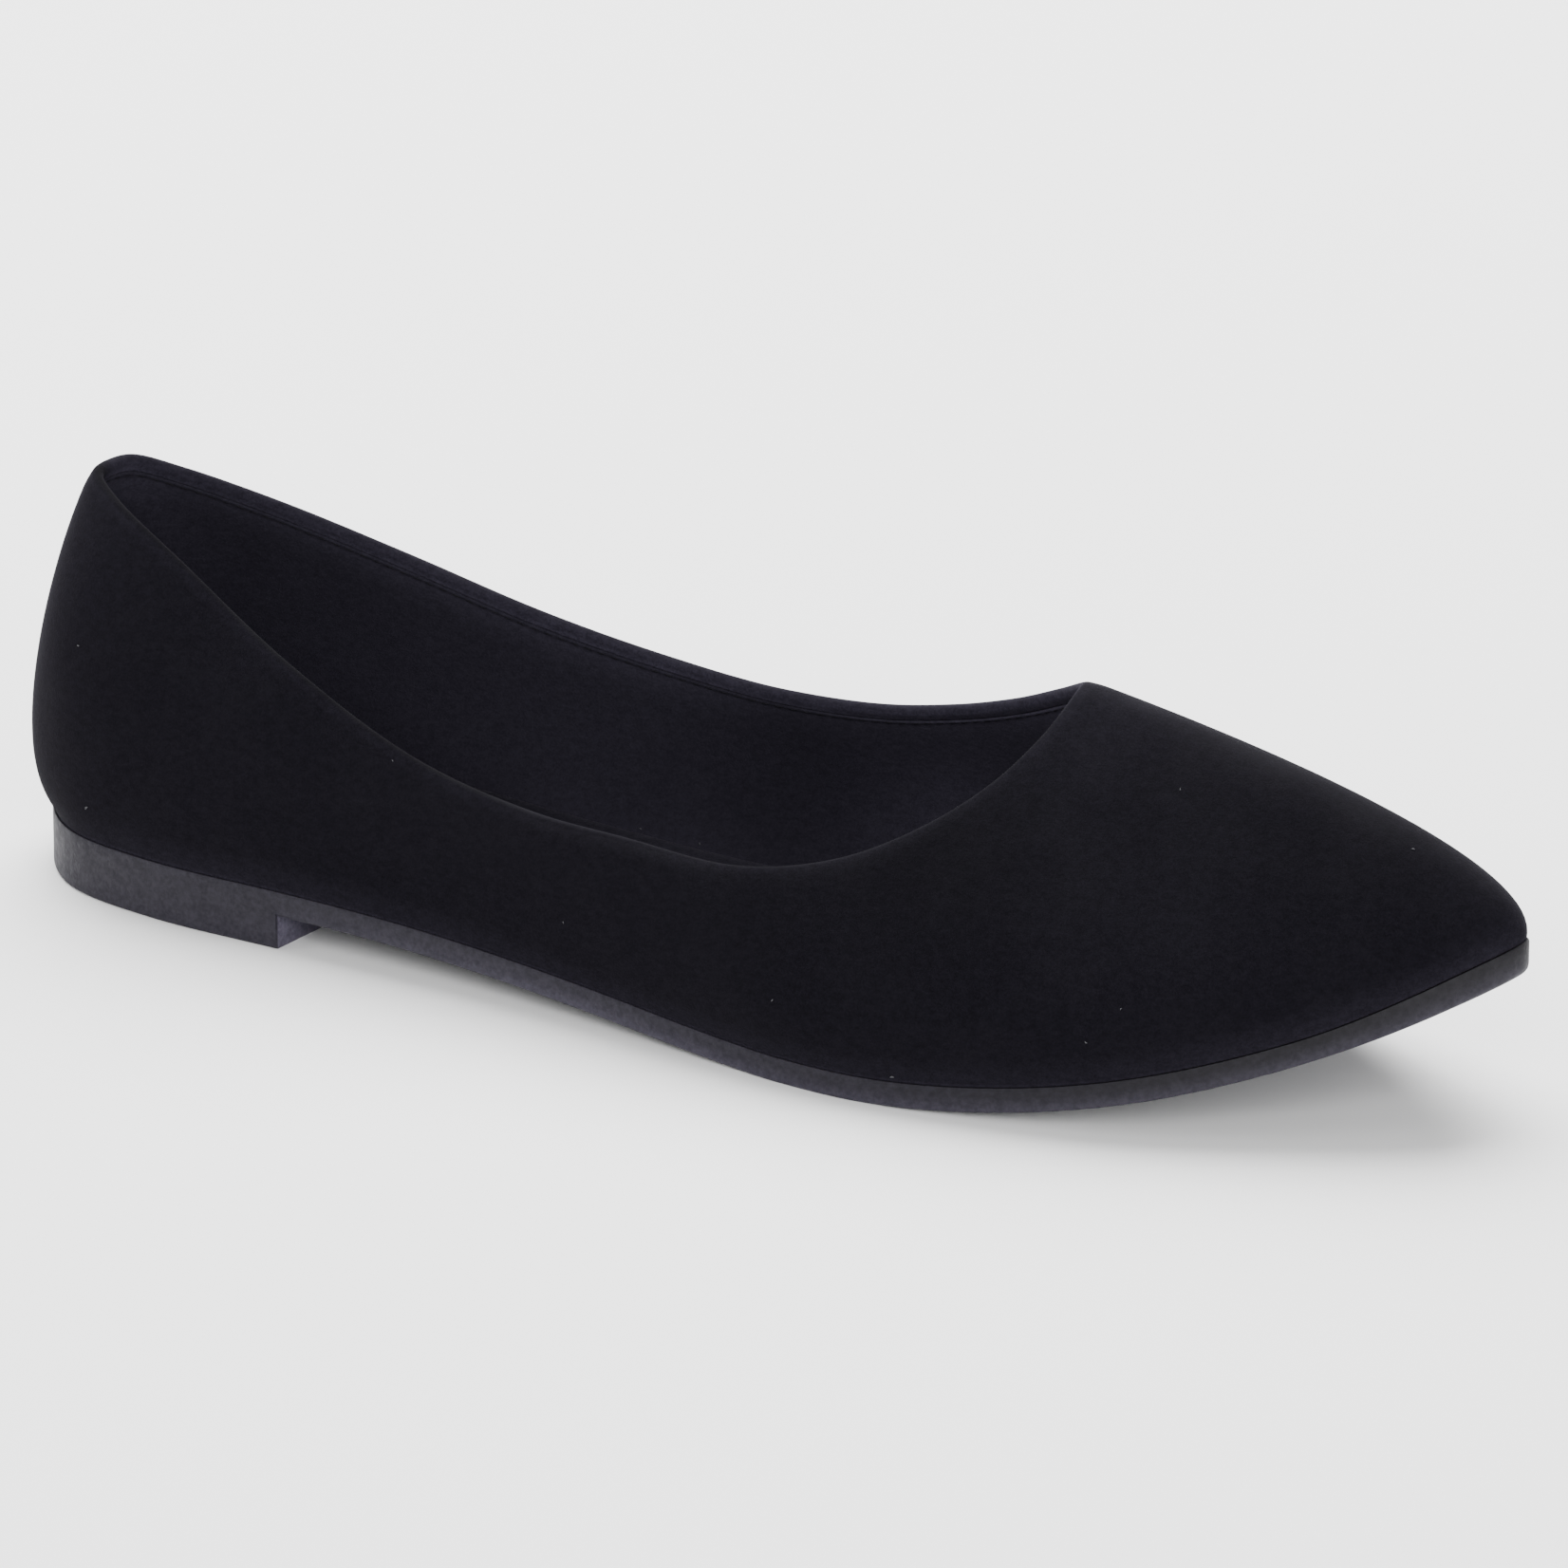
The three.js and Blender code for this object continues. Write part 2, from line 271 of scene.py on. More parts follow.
def all_round(outer, inner, place):
    """Both sides' rows as one round: heel, outer side, toe, inner side back to the heel."""
    return [place(row, -1) for row in outer] + [place(row, 1) for row in inner[-2:0:-1]]


def foot_place(row, side):
    share = row.outer if side < 0 else row.inner
    return Vector((row.along * SOLE_LENGTH, middle(row.along) + side * share * half_width(row.along), 0))


def top_place(row, side):
    across = middle(row.along) + side * row.across * half_width(row.along)
    return Vector((row.along * SOLE_LENGTH, across, row.rise * crest(row.along)))


FOOT_LOOP = Loop(all_round(FOOT, FOOT, foot_place), 0.25)
TOP_LOOP = Loop(all_round(TOP_OUTER, TOP_INNER, top_place), 0.25)
RIB_LOOP = Loop(all_round(RIBS_OUTER, RIBS_INNER, lambda row, side: Vector(row)), 0)


def foot_point(t):
    p = FOOT_LOOP.at(t)
    p.z = footing(p.x)
    return p


class Rib:
    """One line up the upper's outer face, measured in millimetres from the foot line."""

    STEP = 1 / 312
    SAMPLES = 64

    def __init__(self, t):
        foot, top = foot_point(t), TOP_LOOP.at(t)
        chord = top - foot
        ahead = foot_point(t + self.STEP) + TOP_LOOP.at(t + self.STEP)
        behind = foot_point(t - self.STEP) + TOP_LOOP.at(t - self.STEP)
        outward = (ahead - behind).cross(chord).normalized() * chord.length
        reach, low, high = RIB_LOOP.at(t)
        handles = (foot + chord * reach + outward * low, foot + chord * UPPER_HANDLE + outward * high)
        self.samples = [self.bow(foot, *handles, top, n / self.SAMPLES) for n in range(self.SAMPLES + 1)]
        self.runs = [0.0]
        for a, b in zip(self.samples, self.samples[1:]):
            self.runs.append(self.runs[-1] + (b - a).length)
        self.size = self.runs[-1]

    @staticmethod
    def bow(foot, low, high, top, s):
        r = 1 - s
        return foot * r ** 3 + low * (3 * r * r * s) + high * (3 * r * s * s) + top * s ** 3

    def at(self, distance):
        n = 1
        while n < self.SAMPLES and self.runs[n] < distance:
            n += 1
        share = (distance - self.runs[n - 1]) / (self.runs[n] - self.runs[n - 1])
        return self.samples[n - 1].lerp(self.samples[n], share)


# Distances under the topline where the edge, the facing and the bead are drawn
EDGE_STOPS = (3.4, 3.0, 2.7, 2.45, 2.2, 2.0, 1.8, 1.5, 1.2, 0.8, 0.4, 0.0)


class Wall:
    """The upper's outer face as a grid of points and outward normals."""

    def __init__(self):
        self.ribs = [Rib(i / ROUND) for i in range(ROUND)]
        self.points = []
        self.below = []
        for one in self.ribs:
            body = one.size - EDGE_STOPS[0]
            stops = [body * (k / WALL_STEPS) ** 1.25 for k in range(WALL_STEPS)]
            stops += [one.size - stop for stop in EDGE_STOPS]
            self.points.append([one.at(stop) for stop in stops])
            self.below.append([one.size - stop for stop in stops])
        self.rows = len(self.points[0])
        self.normals = [[self.normal(i, k) for k in range(self.rows)] for i in range(ROUND)]

    def normal(self, i, k):
        around = self.points[(i + 1) % ROUND][k] - self.points[i - 1][k]
        up = self.points[i][min(k + 1, self.rows - 1)] - self.points[i][max(k - 1, 0)]
        return around.cross(up).normalized()

    def row(self, below):
        """Row that lies a distance under the topline."""
        return self.rows - len(EDGE_STOPS) + EDGE_STOPS.index(below)

    def deep(self, i, k, depth):
        """Grid point moved into the wall by a depth."""
        return self.points[i % ROUND][k] - self.normals[i % ROUND][k] * depth

    def lining_at(self, i, height):
        """Point of the lining at a height over the foot line."""
        low = self.deep(i, 0, WALL)
        for k in range(1, self.rows):
            high = self.deep(i, k, WALL)
            rise = high.z - footing(high.x)
            if rise > height:
                start = low.z - footing(low.x)
                return low.lerp(high, (height - start) / (rise - start))
            low = high
        return low


wall = Wall()

# Meshes


def make_piece(name, points, faces, replaced=(), slot=None, material=None, **marks):
    """A smooth closed piece from millimetre points, riding on the shoe. Its finish reads the marks."""
    mesh = bpy.data.meshes.new(name)
    mesh.from_pydata([(p - MIDDLE) * MM for p in points], [], faces)
    for label, values in marks.items():
        mesh.attributes.new(label, "FLOAT", "POINT").data.foreach_set("value", values)
    shape = bmesh.new()
    shape.from_mesh(mesh)
    bmesh.ops.remove_doubles(shape, verts=shape.verts, dist=2e-6)
    bmesh.ops.dissolve_degenerate(shape, edges=shape.edges, dist=1e-7)
    bmesh.ops.recalc_face_normals(shape, faces=shape.faces)
    for face in shape.faces:
        face.smooth = True
    shape.to_mesh(mesh)
    shape.free()
    mesh.materials.append(material)
    piece = bpy.data.objects.new(name, mesh)
    bpy.context.collection.objects.link(piece)
    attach(piece, "root")
    for node in replaced:
        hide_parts(node)
    return piece


def loft_faces(count, size, wrap):
    """Quads through a row of closed sections with the same number of points."""
    faces = []
    for i in range(count if wrap else count - 1):
        j = (i + 1) % count
        for k in range(size):
            m = (k + 1) % size
            faces.append((i * size + k, j * size + k, j * size + m, i * size + m))
    return faces


def loft(name, sections, wrap, **finish):
    points = [p for section in sections for p in section]
    return make_piece(name, points, loft_faces(len(sections), len(sections[0]), wrap), **finish)


# Finishes


def new_material(name):
    material = bpy.data.materials.new(name)
    material.use_nodes = True
    nodes = material.node_tree.nodes
    nodes.clear()
    out = nodes.new("ShaderNodeOutputMaterial")
    shader = nodes.new("ShaderNodeBsdfPrincipled")
    material.node_tree.links.new(shader.outputs["BSDF"], out.inputs["Surface"])
    return material, shader


def new_group(name, inputs, outputs):
    """A shader node group with named sockets, and its own input and output nodes."""
    group = bpy.data.node_groups.new(name, "ShaderNodeTree")
    for label, kind, value in inputs:
        socket = group.interface.new_socket(label, in_out="INPUT", socket_type=kind)
        socket.default_value = value
    for label, kind in outputs:
        group.interface.new_socket(label, in_out="OUTPUT", socket_type=kind)
    return group, group.nodes.new("NodeGroupInput"), group.nodes.new("NodeGroupOutput")


class Sketch:
    """Short calls that place and join nodes in one tree."""

    def __init__(self, tree):
        self.tree = tree

    def join(self, source, target):
        self.tree.links.new(source, target)

    def feed(self, socket, value):
        if isinstance(value, bpy.types.NodeSocket):
            self.join(value, socket)
        else:
            socket.default_value = value

    def noise(self, place, scale, detail=3.0, roughness=0.5, stretch=None):
        if stretch:
            shift = self.tree.nodes.new("ShaderNodeMapping")
            shift.inputs["Scale"].default_value = stretch
            self.join(place, shift.inputs["Vector"])
            place = shift.outputs["Vector"]
        node = self.tree.nodes.new("ShaderNodeTexNoise")
        self.join(place, node.inputs["Vector"])
        self.feed(node.inputs["Scale"], scale)
        self.feed(node.inputs["Detail"], detail)
        self.feed(node.inputs["Roughness"], roughness)
        return node.outputs["Fac"]

    def math(self, kind, a, b=0.0):
        node = self.tree.nodes.new("ShaderNodeMath")
        node.operation = kind
        self.feed(node.inputs[0], a)
        self.feed(node.inputs[1], b)
        return node.outputs[0]

    def span(self, value, low, high, out_low=0.0, out_high=1.0):
        node = self.tree.nodes.new("ShaderNodeMapRange")
        node.interpolation_type = "SMOOTHSTEP"
        numbers = {"Value": value, "From Min": low, "From Max": high, "To Min": out_low, "To Max": out_high}
        for label, number in numbers.items():
            self.feed(node.inputs[label], number)
        return node.outputs["Result"]

    def mix(self, share, a, b):
        node = self.tree.nodes.new("ShaderNodeMix")
        node.data_type = "RGBA"
        self.feed(node.inputs[0], share)
        self.feed(node.inputs[6], a)
        self.feed(node.inputs[7], b)
        return node.outputs[2]

    def place(self):
        return self.tree.nodes.new("ShaderNodeTexCoord").outputs["Object"]

    def mark(self, name):
        node = self.tree.nodes.new("ShaderNodeAttribute")
        node.attribute_name = name
        return node.outputs["Fac"]

    def scaled(self, colour, factor):
        node = self.tree.nodes.new("ShaderNodeVectorMath")
        node.operation = "SCALE"
        self.feed(node.inputs[0], colour)
        self.feed(node.inputs["Scale"], factor)
        return node.outputs[0]

    def use(self, group, **values):
        node = self.tree.nodes.new("ShaderNodeGroup")
        node.node_tree = group
        for label, value in values.items():
            self.feed(node.inputs[label.replace("_", " ")], value)
        return node.outputs

    def bump(self, height, strength, distance, shader):
        node = self.tree.nodes.new("ShaderNodeBump")
        node.inputs["Strength"].default_value = strength
        node.inputs["Distance"].default_value = distance
        self.join(height, node.inputs["Height"])
        self.join(node.outputs["Normal"], shader.inputs["Normal"])


def nap_group():
    """Short fibres of a raised nap: fine grain, patches where the nap lies darker or lighter, and stray lint.
    """
    group, given, out = new_group(
        "Nap",
        [
            ("Dark", "NodeSocketColor", (0.01, 0.01, 0.012, 1)),
            ("Light", "NodeSocketColor", (0.03, 0.03, 0.034, 1)),
            ("Fibre Scale", "NodeSocketFloat", 2600.0),
            ("Patch Scale", "NodeSocketFloat", 55.0),
            ("Lint Share", "NodeSocketFloat", 0.03),
            ("Gain", "NodeSocketFloat", 1.0),
        ],
        [("Color", "NodeSocketColor"), ("Height", "NodeSocketFloat"), ("Roughness", "NodeSocketFloat")],
    )
    s = Sketch(group)
    place = s.place()
    fibre = s.noise(place, given.outputs["Fibre Scale"], 4.0, 0.65)
    tuft = s.noise(place, s.math("MULTIPLY", given.outputs["Fibre Scale"], 0.24), 3.0, 0.6, (1.0, 1.0, 1.7))
    patch = s.noise(place, given.outputs["Patch Scale"], 4.0, 0.55, (1.0, 1.3, 0.8))
    shade = s.math("ADD", s.math("MULTIPLY", fibre, 0.45), s.math("MULTIPLY", tuft, 0.3))
    shade = s.math("ADD", shade, s.math("MULTIPLY", patch, 0.08))
    colour = s.mix(s.span(shade, 0.25, 0.58), given.outputs["Dark"], given.outputs["Light"])
    cell = group.nodes.new("ShaderNodeTexVoronoi")
    cell.inputs["Scale"].default_value = 70.0
    s.join(place, cell.inputs["Vector"])
    chance = group.nodes.new("ShaderNodeSeparateColor")
    s.join(cell.outputs["Color"], chance.inputs["Color"])
    picked = s.math("LESS_THAN", chance.outputs["Red"], given.outputs["Lint Share"])
    speck = s.math("MULTIPLY", picked, s.span(cell.outputs["Distance"], 0.012, 0.03, 1.0, 0.0))
    colour = s.scaled(colour, given.outputs["Gain"])
    s.join(s.mix(speck, colour, (0.05, 0.05, 0.055, 1)), out.inputs["Color"])
    s.join(s.math("ADD", s.math("MULTIPLY", fibre, 0.6), s.math("MULTIPLY", tuft, 0.5)), out.inputs["Height"])
    s.join(s.span(patch, 0.3, 0.7, 0.98, 0.86), out.inputs["Roughness"])
    return group


def moulded_group():
    """Matt moulded rubber: cloudy mottling, fine grain and pits, its colour scaled by a gain that carries
    painted light and shade.
    """
    group, given, out = new_group(
        "Moulded",
        [
            ("Dark", "NodeSocketColor", (0.03, 0.03, 0.035, 1)),
            ("Light", "NodeSocketColor", (0.07, 0.07, 0.075, 1)),
            ("Cloud Scale", "NodeSocketFloat", 150.0),
            ("Grain Scale", "NodeSocketFloat", 1500.0),
            ("Gain", "NodeSocketFloat", 1.0),
        ],
        [("Color", "NodeSocketColor"), ("Height", "NodeSocketFloat"), ("Roughness", "NodeSocketFloat")],
    )
    s = Sketch(group)
    place = s.place()
    cloud = s.noise(place, given.outputs["Cloud Scale"], 5.0, 0.6)
    grain = s.noise(place, given.outputs["Grain Scale"], 3.0, 0.6)
    pit = s.span(s.noise(place, s.math("MULTIPLY", given.outputs["Grain Scale"], 0.35), 2.0, 0.5), 0.6, 0.72)
    shade = s.math("ADD", s.math("MULTIPLY", cloud, 0.4), s.math("MULTIPLY", grain, 0.6))
    colour = s.mix(s.span(shade, 0.3, 0.7), given.outputs["Dark"], given.outputs["Light"])
    s.join(s.scaled(colour, given.outputs["Gain"]), out.inputs["Color"])
    height = s.math("SUBTRACT", s.math("MULTIPLY", grain, 0.6), s.math("MULTIPLY", pit, 0.4))
    s.join(height, out.inputs["Height"])
    s.join(s.span(cloud, 0.3, 0.7, 0.62, 0.5), out.inputs["Roughness"])
    return group


NAP = nap_group()
MOULDED = moulded_group()


def napped(name, dark, light, sheen, mark, marked, **values):
    """Napped cloth. marked is how many times lighter or darker it is where the piece's mark is 1."""
    material, shader = new_material(name)
    s = Sketch(material.node_tree)
    gain = s.math("ADD", s.math("MULTIPLY", s.mark(mark), marked - 1), 1.0)
    nap = s.use(NAP, Dark=(*dark, 1), Light=(*light, 1), Gain=gain, **values)
    s.join(nap["Color"], shader.inputs["Base Color"])
    s.join(nap["Roughness"], shader.inputs["Roughness"])
    s.bump(nap["Height"], 0.55, 0.00025, shader)
    shader.inputs["Specular IOR Level"].default_value = 0.03
    shader.inputs["Sheen Weight"].default_value = sheen
    shader.inputs["Sheen Roughness"].default_value = 0.42
    shader.inputs["Sheen Tint"].default_value = (0.86, 0.80, 1.0, 1)
    return material


def rubber(name, dark, light, mark, **values):
    """Moulded rubber, as many times lighter or darker as the piece's mark says."""
    material, shader = new_material(name)
    s = Sketch(material.node_tree)
    skin = s.use(MOULDED, Dark=(*dark, 1), Light=(*light, 1), Gain=s.mark(mark), **values)
    s.join(skin["Color"], shader.inputs["Base Color"])
    s.join(skin["Roughness"], shader.inputs["Roughness"])
    s.bump(skin["Height"], 0.4, 0.0002, shader)
    shader.inputs["Specular IOR Level"].default_value = 0.15
    return material


def thread_finish(name, dark, light):
    material, shader = new_material(name)
    s = Sketch(material.node_tree)
    twist = s.noise(s.place(), 5200.0, 2.0, 0.5, (1.0, 1.0, 2.2))
    s.join(s.mix(s.span(twist, 0.35, 0.65), (*dark, 1), (*light, 1)), shader.inputs["Base Color"])
    shader.inputs["Specular IOR Level"].default_value = 0.1
    s.bump(twist, 0.5, 0.00012, shader)
    shader.inputs["Roughness"].default_value = 0.55
    return material


# black_nap takes painted light and shade from the cloth's mark, lining_nap and sole_rubber from their pieces'
# tones
BLACK_NAP = napped("black_nap", (0.0027, 0.0024, 0.0036), (0.0058, 0.0052, 0.0076), 0.019, "rim", 5.6)
LINING_NAP = napped("lining_nap", (0.0174, 0.0156, 0.0228), (0.0308, 0.0278, 0.0396), 0.02, "tone", 2.0,
                    Lint_Share=0.02)
SOCK_NAP = napped("sock_nap", (0.0056, 0.0050, 0.0074), (0.0110, 0.0100, 0.0141), 0.02, "tone", 2.0,
                  Lint_Share=0.05)
SOLE_RUBBER = rubber("sole_rubber", (0.0098, 0.0088, 0.0128), (0.0192, 0.0174, 0.0242), "tone",
                     Cloud_Scale=700.0)
BLACK_THREAD = thread_finish("black_thread", (0.0045, 0.0041, 0.0058), (0.008, 0.0073, 0.0102))
PALE_FIBRE = thread_finish("pale_fibre", (0.045, 0.045, 0.05), (0.075, 0.075, 0.08))

# Upper

# Soft forms pressed into the outer face: along and up in mm, their reach both ways, depth in mm, on one side
SOFT_FORMS = table("x z long tall depth side", [
    (205.0, 38.0, 16.0, 9.0, 0.35, -1),
    (150.0, 22.0, 26.0, 8.0, 0.30, -1),
    (95.0, 24.0, 30.0, 7.0, 0.40, -1),
    (40.0, 34.0, 14.0, 14.0, -0.30, -1),
    (150.0, 26.0, 24.0, 9.0, 0.35, 1),
    (90.0, 26.0, 26.0, 9.0, 0.35, 1),
])

# How far from the middle line, and how far under the topline, the soft forms reach their whole depth
RIDGE_CLEAR = 9.0
TOPLINE_CLEAR = 9.0


def soft_form(p):
    """Depth of the soft forms at a point of the outer face. They fade out at the ridge along the middle."""
    across = p.y - middle(p.x / SOLE_LENGTH)
    side = 1 if across > 0 else -1
    depth = 0.0
    for form in SOFT_FORMS:
        if form.side == side:
            away = ((p.x - form.x) / form.long) ** 2 + ((p.z - form.z) / form.tall) ** 2
            depth += form.depth * math.exp(-away)
    return depth * smooth(abs(across), 0, RIDGE_CLEAR)


# How far the outer face rolls over towards the topline, tight at the heel and throat, wide beside the instep
ROLL_HEIGHT = 3.4
ROLL_DEPTH = 0.25
WIDE_ROLL = 0.8

# Steps round the folded edge, with the last one before its crest and the first one behind it
FOLD_STEPS = 9
FOLD_CREST = 4
FOLD_BEHIND = 5

# Where the facing's points lie under the topline, and how far its turned edge slopes in
FACING_STOPS = (0.0, 0.4, 0.8, 1.2)
TURNED_STEP = 0.02
TURNED_SLOPE = 0.3

# How far the hidden backs of the cloth and of the lining lie behind the cloth's thickness
CLOTH_BACK = 0.05
LINING_BACK = 0.15

# The padded part of the outer topline, where the fold is thicker: where it swells, where it thins, how much
SWELLS = (90, 108)
THINS = (120, 142)
PADDING = 1.1

# Painted light and painted shade round the fold, as how much lighter the nap is painted: just under the
# topline, on the crest and the facing of the shoe's outer and inner side, at the facing's foot and on its
# turned edge
RIM_START = 0.06
OUTER_RIM = -0.13
INNER_RIM = 0.28
OUTER_FACING = -0.1
INNER_FACING = 0.8
TURNED_RIM = 1.3
LEDGE_RIM = 0.7

# How far it fades down the outer face, how many ribs it takes to change from side to side, and how many times
# the inner side's it is at the throat, growing between these shares of the length
RIM_FADE = 1.8
WIDE_RIM_FADE = 2.2
TURN_RIBS = 12
THROAT_RIM = 1.8
THROAT_RIM_SPAN = (0.35, 0.68)

# The same kind of painted light along the foot of the wall: how far up it fades, and the shares of length where
# it grows
FOOT_MARK = 0.14
FOOT_FADE = 6.0
FOOT_MARK_SPAN = (0.0, 0.12)

# The corner over the sole: its share of the lowest step, its painted light against the shade where the cloth
# meets the sole, and how that changes towards the toe
CORNER_SHARE = 0.2
CORNER_MARK = 0.4
TOE_CORNER_MARK = 0.24
TOE_CORNER_SPAN = (0.6, 0.9)

# Painted highlights and painted shade on the outer face: the place on the last, its reach, and how much lighter
PAINTED_SPOTS = table("x y z reach mark", [
    (3.0, -10.0, 18.0, 9.0, -0.060),
    (13.0, -13.0, 58.0, 14.0, 0.060),
    (141.0, -35.0, 25.0, 18.0, -0.022),
    (172.0, -24.0, 37.0, 22.0, -0.058),
    (188.0, 1.0, 54.0, 13.0, 0.050),
    (204.0, -4.0, 48.0, 16.0, -0.030),
    (235.0, 2.0, 44.0, 20.0, -0.050),
    (257.0, 0.0, 32.0, 8.0, 0.030),
])


def painted_spots(p):
    """How much lighter the nap is painted at a point of the outer face, as painted highlights and painted
    shade.
    """
    return sum(
        spot.mark * math.exp(-(p - Vector((spot.x, spot.y, spot.z))).length_squared / spot.reach ** 2)
        for spot in PAINTED_SPOTS
    )


def padded(i):
    """Share of the outer topline's padding at one rib."""
    if i > ROUND / 2:
        return 0.0
    x = wall.points[i][-1].x
    return smooth(x, *SWELLS) * (1 - smooth(x, *THINS))


def roll(i, k):
    """Depth of the rolled shoulder under the topline."""
    below = wall.below[i][k]
    if below >= ROLL_HEIGHT:
        return 0.0
    return lerp(ROLL_DEPTH, WIDE_ROLL, padded(i)) * (1 - below / ROLL_HEIGHT) ** 2


def cloth_face(i, k):
    form = soft_form(wall.points[i][k]) * smooth(wall.below[i][k], 0, TOPLINE_CLEAR)
    return wall.deep(i, k, form + roll(i, k))


def folded_edge(i, inner):
    """Half round of the folded topline edge, from the outer face over to the facing."""
    last = wall.rows - 1
    up = (wall.points[i][last] - wall.points[i][last - 2]).normalized()
    near = roll(i, last)
    centre = wall.deep(i, last, (near + inner) / 2)
    reach = (inner - near) / 2
    outward = wall.normals[i][last]
    arc = []
    for n in range(1, FOLD_STEPS):
        turn = math.pi * n / FOLD_STEPS
        arc.append(centre + outward * (reach * math.cos(turn)) + up * (EDGE_RISE * math.sin(turn)))
    return arc


def back_rows():
    """Rows of the outer cloth's hidden back, downwards."""
    return range(wall.row(2.7), -1, -3)


def cloth_section(i):
    """Outer cloth: outer face, folded edge, turned-in facing, and its hidden back."""
    outer = [cloth_face(i, k) for k in range(wall.rows)]
    outer[0].z = sole_top(outer[0].x) + SEAT
    outer.insert(1, outer[0].lerp(outer[1], CORNER_SHARE))
    thick = PADDING * padded(i)
    facing = [wall.deep(i, wall.row(stop), EDGE_THICKNESS + thick * (1 - smooth(stop, 0, FACING_STOPS[-1])))
              for stop in FACING_STOPS]
    turned = [wall.deep(i, wall.row(TURNED_EDGE), EDGE_THICKNESS - TURNED_STEP),
              wall.deep(i, wall.row(1.8), EDGE_THICKNESS - TURNED_SLOPE)]
    back = [wall.deep(i, k, CLOTH + CLOTH_BACK) for k in back_rows()]
    return outer + folded_edge(i, EDGE_THICKNESS + thick) + facing + turned + back


def cloth_marks(i):
    """How much lighter the nap is painted at each point of a cloth section: painted light and painted shade."""
    wide = padded(i)
    fade = lerp(RIM_FADE, WIDE_RIM_FADE, wide)
    start = RIM_START * (1 - wide)
    size = wall.ribs[i].size
    outer = []
    for below, p in zip(wall.below[i], wall.points[i]):
        rim = 1 - smooth(below, 0, fade)
        foot = (1 - smooth(size - below, 0, FOOT_FADE)) * smooth(p.x / SOLE_LENGTH, *FOOT_MARK_SPAN)
        outer.append(start * rim + FOOT_MARK * foot + painted_spots(p))
    foot_along = wall.points[i][0].x / SOLE_LENGTH
    outer[0] = lerp(CORNER_MARK, TOE_CORNER_MARK, smooth(foot_along, *TOE_CORNER_SPAN))
    outer.insert(1, outer[0])
    inner = 1 - smooth(min(i, ROUND / 2 - i), 0, TURN_RIBS)
    inner *= lerp(1, THROAT_RIM, smooth(wall.points[i][-1].x / SOLE_LENGTH, *THROAT_RIM_SPAN))
    bright = lerp(OUTER_RIM * (1 - wide), INNER_RIM, inner)
    turned = lerp(OUTER_FACING, INNER_FACING, inner)
    fold = []
    for n in range(1, FOLD_STEPS):
        crest_mark = lerp(start, bright, smooth(n, 0, FOLD_CREST))
        fold.append(lerp(crest_mark, turned, smooth(n, FOLD_BEHIND, FOLD_STEPS)))
    lowest = lerp(turned, TURNED_RIM, inner)
    steps = len(FACING_STOPS)
    facing = [lerp(turned, lowest, n / (steps - 1)) for n in range(steps)]
    return outer + fold + facing + [LEDGE_RIM] * 2 + [0.0] * len(back_rows())


# The bead along the lining's folded edge: distances under the topline and depths in the wall
BEAD = table("below depth", [
    (1.5, WALL - 0.1),
    (1.8, BEAD_DEPTH - 0.07),
    (2.0, BEAD_DEPTH),
    (2.2, BEAD_DEPTH),
    (2.45, BEAD_DEPTH - 0.06),
    (2.7, BEAD_DEPTH - 0.15),
])
# Distances under the topline between which the lining's swell fades, and the lowest row of its face and back
SWELL_SPAN = (2.7, 8.0)
LINING_LOWEST = 3


def lining_section(i):
    """Lining: the bead along its folded edge, its inside face and its hidden back, with their painted light and
    shade.
    """
    bead = [(wall.row(stop.below), stop.depth) for stop in BEAD]
    face = []
    for k in range(wall.row(3.0), LINING_LOWEST - 1, -1):
        face.append((k, WALL + BEAD_SWELL * (1 - smooth(wall.below[i][k], *SWELL_SPAN))))
    foot = wall.deep(i, 0, WALL)
    foot.z = footing(foot.x) + MARGIN_THICKNESS
    back = range(LINING_LOWEST, wall.row(3.4), 4)
    points = [wall.deep(i, k, depth) for k, depth in bead + face]
    points += [foot, wall.deep(i, 0, CLOTH + LINING_BACK)]
    points += [wall.deep(i, k, CLOTH + LINING_BACK) for k in back]
    below = [wall.below[i][k] for k, _ in bead + face] + [wall.ribs[i].size] * (2 + len(back))
    return points, [lining_shading(p, under) for p, under in zip(points, below)]


# Painted shade and light on the lining: its tone at the back and under the throat, and where along the shoe it
# changes
BACK_SHADE = 0.66
THROAT_LIGHT = 1.5
BACK_TO_THROAT = (0.44, 0.58)

# Painted shade beside the arch: how dark, where along the shoe, its reach, and the heights where it fades
ARCH_SHADE = 0.3
ARCH_SHADE_ALONG = 0.50
ARCH_SHADE_REACH = 0.15
ARCH_SHADE_HEIGHTS = (14, 40)

# Painted light on a strip under the bead: how much lighter, and the distances where it starts and fades
EDGE_LIGHT = 0.45
EDGE_LIGHT_STARTS = (2.2, 2.8)
EDGE_LIGHT_FADES = (2.8, 10)


def arch_shading(p):
    """Share of painted shade at a point inside the shoe: most beside the arch."""
    along = math.exp(-((p.x / SOLE_LENGTH - ARCH_SHADE_ALONG) / ARCH_SHADE_REACH) ** 2)
    return along * (1 - smooth(p.z - footing(p.x), *ARCH_SHADE_HEIGHTS))


def lining_shading(p, below):
    """How much lighter or darker than its own colour the lining is painted: painted shade at the back and by
    the arch, painted light at the throat and under the bead.
    """
    painted_gain = lerp(BACK_SHADE, THROAT_LIGHT, smooth(p.x / SOLE_LENGTH, *BACK_TO_THROAT))
    painted_gain *= 1 + EDGE_LIGHT * smooth(below, *EDGE_LIGHT_STARTS) * (1 - smooth(below, *EDGE_LIGHT_FADES))
    return painted_gain * (1 - ARCH_SHADE * arch_shading(p)) - 1


